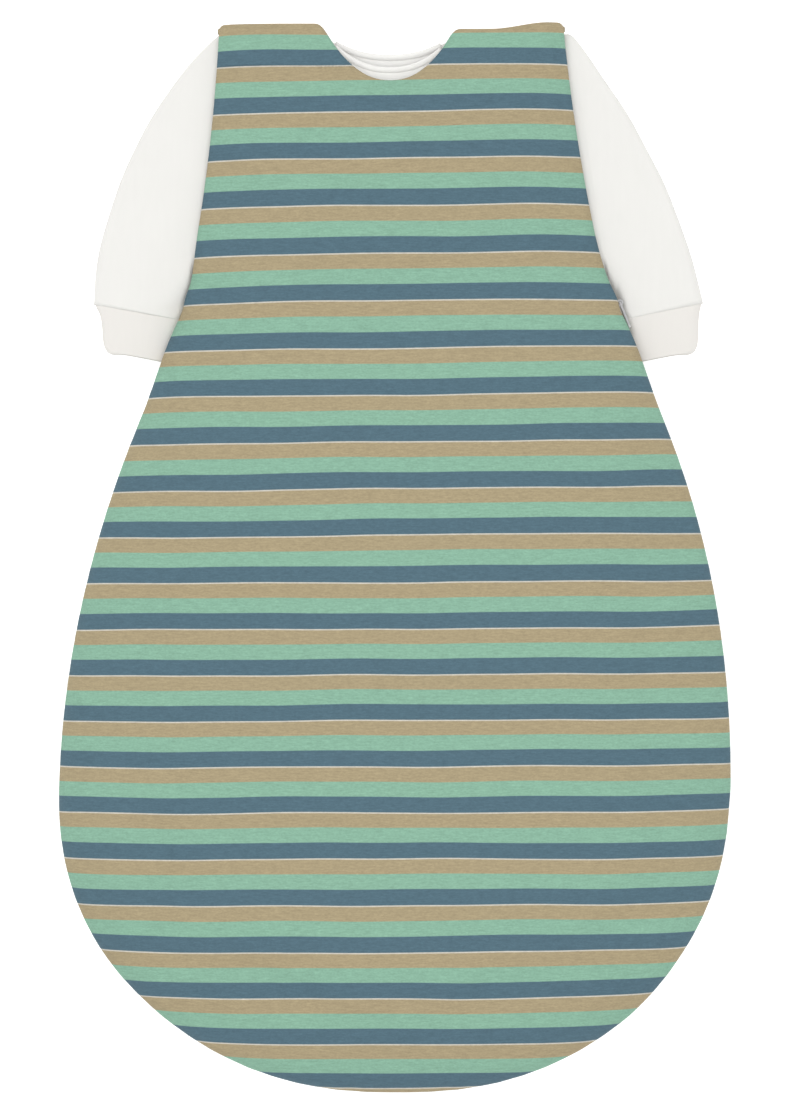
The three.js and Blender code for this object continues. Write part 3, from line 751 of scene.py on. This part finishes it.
Layer = namedtuple("Layer", "piece node depth inset setback edge_change material slot thickness")
FRONT_LAYERS = (
    Layer("cover", "shell", flat_depth(0.0), 0.0, 0.0, -EDGE_DROP, STRIPED, "striped_jersey", 0.0009),
    Layer("padding", "wadding", flat_depth(0.0028), 0.0036, 0.009, 0.0, FIBRE, "wadding", 0.0040),
    Layer("lining_sheet", "lining", wadding_depth(0.009, 0.006, 0.0020), 0.0080, 0.001, 0.0022,
          WHITE, "white_jersey", 0.0008),
)
BACK_LAYERS = (
    Layer("cover", "shell", flat_depth(0.0004), 0.0, 0.0, 0.001, STRIPED, "striped_jersey", 0.0009),
    Layer("padding", "wadding", flat_depth(0.0016), 0.0018, 0.009, 0.0, FIBRE, "wadding", 0.0026),
    Layer("lining_sheet", "lining", wadding_depth(0.0058, 0.0032, 0.0020), 0.0080, 0.0, -0.001,
          WHITE, "white_jersey", 0.0008),
)


def front_sheet(layer):
    """A sheet of the front, still whole."""
    outer = layer.piece == "cover"
    sheet, held = panel(
        f"front_{layer.piece}", front_height, FRONT_TOP_EDGE, layer.inset, layer.depth,
        layer.edge_change, layer.material, flange=outer, setback=layer.setback,
    )
    if outer:
        inflate(sheet, held, 3.0, 0.004)
    if layer.piece != "lining_sheet":
        subdivide(sheet)
    if outer:
        pucker(sheet, 0.0006, seed=7)
    lay_bent(sheet)
    return sheet


def make_front():
    """Each sheet of the front, and its strap cut off at the strap line."""
    for layer in FRONT_LAYERS:
        sheet = front_sheet(layer)
        strap = cut_strap(sheet, f"left_strap_{layer.piece}")
        corner_nodes = (f"front_{layer.node}", f"corner_{layer.node}")
        for obj, body, zone, nodes in (
            (sheet, "opening_corner", TO_CORNER, corner_nodes),
            (strap, "left_strap", TO_STRAP, (f"left_strap_{layer.node}",)),
        ):
            remember_cloth(obj)
            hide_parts(*nodes)
            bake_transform(obj)
            thicken(obj, layer.thickness)
            declare_layer(layer.piece, obj is strap)


def declare_layer(piece, is_strap):
    if piece == "padding":
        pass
    elif is_strap:
        flat, area = panel_cut(FRONT_TOP_EDGE, above=STRAP_LINE, left_only=True)
    else:
        flat, area = panel_cut(FRONT_TOP_EDGE)


def make_back():
    for layer in BACK_LAYERS:
        outer, padding = layer.piece == "cover", layer.piece == "padding"
        sheet, _ = panel(
            f"back_{layer.piece}", back_height, BACK_TOP_EDGE, layer.inset, layer.depth,
            layer.edge_change, layer.material, flange=outer, setback=layer.setback,
            rim=BACK_PADDING_RIM if padding else None,
        )
        if outer:
            subdivide(sheet)
        lay_bent(sheet)
        remember_cloth(sheet)
        thicken(sheet, layer.thickness)
        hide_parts(f"back_{layer.node}")
        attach(sheet, "root")
        if padding:
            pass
        else:
            flat, area = panel_cut(BACK_TOP_EDGE)


# ---- The inner bag ----
def inner_front_height(x, y, rho, u, depth, top, edge_change):
    edge = lerp(SEAM_Z + 0.0002, 0.0145, past_underarm(y))
    crest = towards_head(0.0338, 0.016, y) - depth
    return edge + (crest - edge) * np.sqrt(np.clip(1 - rho ** 6, 0, 1))


def inner_back_height(x, y, rho, u, depth, top, edge_change):
    edge = lerp(SEAM_Z - 0.0002, 0.0085, past_underarm(y))
    crest = towards_head(0.0058, 0.0032, y) + 0.0036
    return edge + (crest - edge) * back_dish(rho)


def make_inner_bag():
    for name, height, top in (
        ("front", inner_front_height, INNER_FRONT_TOP_EDGE),
        ("back", inner_back_height, INNER_BACK_TOP_EDGE),
    ):
        sheet, _ = panel(f"inner_{name}_sheet", height, top, INNER_INSET, flat_depth(0.0), 0.0, INNER_PAINTED_BRIGHT)
        lay_bent(sheet)
        remember_cloth(sheet)
        thicken(sheet, 0.0007)
        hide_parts(f"inner_{name}")
        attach(sheet, "root")
        flat, area = panel_cut(top, INNER_INSET)


BAND_LEG, BAND_OVER, BAND_HALF_THICKNESS = 0.0022, 0.0012, 0.00075


def band_section():
    """(beyond the edge, up) points of a strip folded over an edge, from its front leg to its back one."""
    r = BAND_HALF_THICKNESS
    angles = np.linspace(math.pi / 2, -math.pi / 2, 9)
    turn = [(BAND_OVER - r + r * math.cos(a), r * math.sin(a)) for a in angles]
    return [(-BAND_LEG, r), *turn, (-BAND_LEG, -r)]


def make_neck_bindings():
    """A narrow strip folded over each neck edge of the inner bag."""
    section = band_section()
    for name, top in (("front", INNER_FRONT_TOP_EDGE), ("back", INNER_BACK_TOP_EDGE)):
        z = np.mean([corner.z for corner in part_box(f"neck_binding_{name}")])
        xs = np.linspace(-0.0345, 0.0300, 60)
        ys = top(xs)
        slope = np.gradient(ys, xs)
        lean = np.stack([-slope, np.ones_like(slope)], axis=1)
        lean /= np.linalg.norm(lean, axis=1, keepdims=True)
        points = [
            (x + away * out[0], y + away * out[1], z + up)
            for x, y, out in zip(xs, ys, lean) for away, up in section
        ]
        faces = grid_faces(len(xs), len(section), turned=True)
        band = new_piece(f"neck_band_{name}", points, faces, INNER_PAINTED_BRIGHT, "root")
        lay_bent(band)
        remember_cloth(band)
        solid = thicken(band, 0.0006)
        solid.offset = 0
        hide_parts(f"neck_binding_{name}")


# ---- Sleeves and cuffs ----
def bezier(points, t):
    points = [np.array(p, float) for p in points]
    while len(points) > 1:
        points = [a + (b - a) * t for a, b in zip(points, points[1:])]
    return points[0]


OUTER_SEAM = {
    "left": [(0.1065, 0.318), (0.1416, 0.2895), (0.1822, 0.2175), (0.1835, 0.1538)],
    "right": [(0.1065, 0.318), (0.1450, 0.2663), (0.1707, 0.2256), (0.1868, 0.1546)],
}
CUFF_OUTER = {
    "left": [(0.1815, 0.1531), (0.1758, 0.1470), (0.1778, 0.1350), (0.1778, 0.1262), (0.1728, 0.1252)],
    "right": [(0.1850, 0.1538), (0.1818, 0.1470), (0.1842, 0.1340), (0.1838, 0.1262), (0.1790, 0.1252)],
}


def beside_body(side, under, *ys):
    """Points out from the middle line, a little way under the edge of the bag as it lies."""
    return [(float(side_width(y) + side * wander(y)) - under, y) for y in ys]


def arm_lines(name, side):
    """The inner and outer seams of a sleeve, then those of its cuff."""
    inner = beside_body(side, 0.0006, 0.168, 0.158, 0.1446)
    cuff_inner = [*beside_body(side, 0.0006, 0.1441), *beside_body(side, 0.0025, 0.1188)]
    return inner, OUTER_SEAM[name], cuff_inner, CUFF_OUTER[name]


LOW_BY_ZIP, LOW_BY_SEAM, FREE_OF_BODY = 0.0085, 0.0128, 0.020
OFF_ZIP, OFF_SEAM = 0.009, 0.0035
PULL_LOW, PULL_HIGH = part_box("zip_pull")[0].y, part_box("zip_slider")[1].y


def below_body(x, y, side):
    """How high an arm's cloth may come: it lies low beside the body, under the rim and the zip pull."""
    by_zip = smooth((y - PULL_LOW + 0.010) / 0.010) * smooth((PULL_HIGH + 0.010 - y) / 0.010) * (side > 0)
    lowest, off = lerp(LOW_BY_SEAM, LOW_BY_ZIP, by_zip), lerp(OFF_SEAM, OFF_ZIP, by_zip)
    away = smooth((x - side_width(y) - side * wander(y)) / off)
    by_side = lerp(lowest, FREE_OF_BODY, away)
    return lerp(by_side, FREE_OF_BODY, smooth((y - 0.168) / 0.025))


def tube(name, inner, outer, side, half, middle_z, steps, around, tuck, material):
    """A flat tube whose sections run from the body side to the outer side.

    half, middle_z: its half height and its middle's height, each at its start and at its end.
    tuck: its first rows go in under the piece before it: (rows' distances, direction, half height,
    middle height and how much narrower it ends)."""
    back_rows, toward, tucked_half, tucked_z, narrower = tuck
    points = []
    shares = [-r for r in back_rows] + list(np.linspace(0, 1, steps))
    for t in shares:
        at = max(t, 0.0)
        near, far = bezier(inner, at), bezier(outer, at)
        across = far - near
        width = np.linalg.norm(across) / 2
        across = across / (2 * width)
        middle = (near + far) / 2
        h, mid = lerp(*half, at), lerp(*middle_z, at)
        if t < 0:
            done = min(1, -t / back_rows[0])
            middle = middle + np.array(toward) * (-t)
            h, mid, width = lerp(h, tucked_half, done), lerp(mid, tucked_z, done), width - narrower
        for k in range(around):
            points.append(tube_point(2 * math.pi * k / around, middle, across, width, h, mid, side))
    rows = len(shares)
    obj = new_piece(name, points, ring_faces(rows, around, turned=side > 0), material)
    held = list(range(2 * around)) + list(range((rows - 2) * around, rows * around))
    return obj, held


def tube_point(angle, middle, across, width, h, mid, side):
    """A point of a section: a squarish oval, pressed down where the body lies over it."""
    c, s = math.cos(angle), math.sin(angle)
    place = middle + across * (width * math.copysign(abs(c) ** 0.75, c))
    up = h * math.copysign(abs(s) ** 0.75, s)
    low, high = mid - h, mid + h
    cap = min(high, below_body(place[0], place[1], side))
    z = lerp(low, cap, (mid + up - low) / (high - low))
    return side * place[0], place[1], max(LOWEST_CLOTH, z)


def soft_folds(obj, amount, seed):
    co = coordinates(obj.data)
    folds = random_folds(co, np.random.default_rng(seed), 22, 5)
    co = co + normals(obj.data) * (amount * folds)[:, None]
    co[:, 2] = np.maximum(co[:, 2], LOWEST_CLOTH)
    move_to(obj.data, co)


INTO_ARMHOLE = ((0.014, 0.010, 0.006, 0.003), (-1.0, -0.10), 0.0033, 0.0122, 0.0)
INTO_SLEEVE = ((0.0030, 0.0015), (0.0, 1.0), 0.0044, 0.0066, 0.0006)


def make_arms():
    for name, side in (("left", -1), ("right", 1)):
        inner, outer, cuff_inner, cuff_outer = arm_lines(name, side)
        sleeve, held = tube(
            f"{name}_sleeve_cloth", inner, outer, side, (0.0060, 0.0060), (0.0118, 0.0068), 34, 44,
            INTO_ARMHOLE, WHITE,
        )
        inflate(sleeve, held, 1.2, 0.0025)
        subdivide(sleeve)
        soft_folds(sleeve, 0.0006, seed=11 if side < 0 else 12)
        cuff, _ = tube(
            f"{name}_cuff_cloth", cuff_inner, cuff_outer, side, (0.0050, 0.0050), (0.0068, 0.0068), 16, 44,
            INTO_SLEEVE, RIB,
        )
        subdivide(cuff)
        for obj, node, thickness in ((sleeve, "sleeve", 0.0008), (cuff, "cuff", 0.0015)):
            remember_cloth(obj)
            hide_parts(f"{name}_{node}")
            thicken(obj, thickness)
            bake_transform(obj)


# ---- Shoulder tabs ----
def make_tabs():
    """The back's straps, which turn over the shoulder and lie under the front."""
    for name in ("left", "right"):
        low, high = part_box(f"{name}_shoulder_tab")
        mid = 0.0009
        path = [
            (high.y - 0.0040, low.z + mid), (high.y - 0.0020, low.z + mid), (high.y - mid, low.z + 0.003),
            (high.y - mid, high.z - 0.003), (high.y - 0.0020, high.z - mid), (high.y - 0.006, high.z - mid),
            (high.y - 0.014, high.z - mid), (low.y + 0.004, high.z - mid), (low.y + 0.001, high.z - mid),
        ]
        xs = np.linspace(low.x + 0.001, high.x - 0.001, 23)
        points = [(x, y, z) for y, z in path for x in xs]
        faces = grid_faces(len(path), len(xs))
        tab = new_piece(f"{name}_shoulder_tab_cloth", points, faces, STRIPED)
        subdivide(tab)
        remember_cloth(tab)
        solid = thicken(tab, 0.0017)
        solid.offset = 0
        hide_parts(f"{name}_shoulder_tab")
        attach(tab, "root")


# ---- The zip ----
def on_zip(along, up, out):
    """A place beside the zip: along its arc in metres from the centre's level, up, and out."""
    angle = along / ZIP_RADIUS
    reach = ZIP_RADIUS + out
    return (
        ZIP_CENTRE[0] + reach * math.cos(angle),
        ZIP_CENTRE[1] + reach * math.sin(angle),
        SEAM_Z + up,
    )


def along_zip(y):
    return math.asin((y - ZIP_CENTRE[1]) / ZIP_RADIUS) * ZIP_RADIUS


def ride_zip(obj, side):
    """The back half stays with the back. The front half keeps its place, baked into its points."""
    if side > 0:
        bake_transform(obj)
    else:
        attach(obj, "root")


def make_tapes():
    for name, side in (("front", 1), ("back", -1)):
        low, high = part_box(f"zip_tape_{name}")
        start, end = along_zip(low.y), along_zip(high.y)
        bottom, top = low.z - SEAM_Z, high.z - SEAM_Z
        steps, steps_up = 90, 4
        points = [
            on_zip(lerp(start, end, i / steps), lerp(bottom, top, j / steps_up), 0.0)
            for i in range(steps + 1) for j in range(steps_up + 1)
        ]
        faces = grid_faces(steps + 1, steps_up + 1, turned=True)
        tape = new_piece(f"zip_tape_{name}_cloth", points, faces, TAPE)
        remember_cloth(tape)
        solid = thicken(tape, 0.0007)
        solid.offset = 0
        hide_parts(f"zip_tape_{name}")
        ride_zip(tape, side)


def rounded_block(centre, half, rings=5, around=10):
    """A block with soft corners: (along, up, out) centre and half sizes."""
    points = []
    for r in range(rings):
        v = math.pi * (r + 0.5) / rings - math.pi / 2
        for k in range(around):
            a = 2 * math.pi * k / around
            ball = (math.cos(v) * math.cos(a), math.cos(v) * math.sin(a), math.sin(v))
            soft = [math.copysign(abs(w) ** 0.45, w) for w in ball]
            points.append(on_zip(*[c + h * w for c, h, w in zip(centre, half, soft)]))
    faces = ring_faces(rings, around)
    faces.append(tuple(range(around - 1, -1, -1)))
    faces.append(tuple(range((rings - 1) * around, rings * around)))
    return points, faces


TOOTH_PITCH, TOOTH_HALF, TOOTH_OUT = 0.003, (0.0009, 0.0017, 0.0011), 0.0022
BEAD_PITCH, BEAD_HALF, BEAD_OUT = 0.004, (0.0023, 0.0006, 0.0010), 0.0036


def make_teeth():
    """Each half of the chain: a row of teeth, and the bead that carries them along the tape."""
    for name, side in (("front", 1), ("back", -1)):
        low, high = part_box(f"zip_teeth_{name}")
        start, end = along_zip(low.y) + 0.002, along_zip(high.y) - 0.002
        first = start if side > 0 else start + TOOTH_PITCH / 2
        teeth = int((end - first) / TOOTH_PITCH) + 1
        beads = int((end - start) / BEAD_PITCH)
        blocks = [
            rounded_block((first + i * TOOTH_PITCH, side * TOOTH_OUT, 0), TOOTH_HALF) for i in range(teeth)
        ]
        blocks += [
            rounded_block((lerp(start, end, (i + 0.5) / beads), side * BEAD_OUT, 0), BEAD_HALF)
            for i in range(beads)
        ]
        points, faces = [], []
        for block, sides in blocks:
            faces += [tuple(v + len(points) for v in face) for face in sides]
            points += block
        row = new_piece(f"zip_teeth_{name}_row", points, faces, PLASTIC)
        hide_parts(f"zip_teeth_{name}")
        ride_zip(row, side)


def finish_hardware():
    """The CAD's metal pieces keep their shape and get rounded edges and a worn finish."""
    for name, node in frame["nodes"].items():
        is_zip = name in ("zip_slider", "zip_pull", "zip_bottom_stop") or "top_stop" in name
        if not (is_zip or "snap" in name):
            continue
        bevel = node.modifiers.new("soft_edges", "BEVEL")
        bevel.width = 0.00022
        bevel.segments = 3
        bevel.limit_method = "ANGLE"
        node.data.materials.clear()
        node.data.materials.append(ZIP_METAL if is_zip else SNAP_METAL)


# ---- Stage, light and camera ----
def make_floor():
    far, z = 6.0, -0.0005
    corners = [(-far, -far, z), (far, -far, z), (far, far, z), (-far, far, z)]
    new_piece("studio_floor", corners, [(0, 1, 2, 3)], studio_floor())


def make_world():
    world = bpy.data.worlds.new("studio")
    world.use_nodes = True
    background = world.node_tree.nodes["Background"]
    background.inputs["Color"].default_value = (1, 1, 1, 1)
    background.inputs["Strength"].default_value = 0.54
    bpy.context.scene.world = world


def make_lights():
    """Three large lamps, each turned to the middle of the bag. The overhead one leaves no glare on metal."""
    for name, place, size, power in (
        ("overhead", (0.0, 0.0, 3.4), 2.4, 62),
        ("key", (-1.4, 1.3, 2.6), 2.2, 17),
        ("fill", (1.6, -0.8, 2.4), 2.6, 9),
    ):
        data = bpy.data.lights.new(name, "AREA")
        data.size = size
        data.energy = power
        light = bpy.data.objects.new(name, data)
        light.location = place
        light.rotation_euler = (-Vector(place)).to_track_quat("-Z", "Y").to_euler()
        light.visible_glossy = name != "overhead"
        bpy.context.scene.collection.objects.link(light)
    bpy.context.scene.view_settings.view_transform = "Standard"


def make_camera():
    """Straight above the bag, far enough for the photograph's flat view."""
    data = bpy.data.cameras.new("camera")
    data.lens = 135
    data.sensor_width = 36
    view_height = 0.6785
    distance = view_height * data.lens / data.sensor_width
    camera = bpy.data.objects.new("camera", data)
    camera.location = (0.0027, -0.0009, SEAM_Z + distance)
    data.clip_end = 20
    bpy.context.scene.collection.objects.link(camera)
    bpy.context.scene.camera = camera


make_camera()
make_floor()
make_world()
make_lights()
make_back()
make_inner_bag()
make_neck_bindings()
make_arms()
make_tabs()
make_front()
make_tapes()
make_teeth()
finish_hardware()
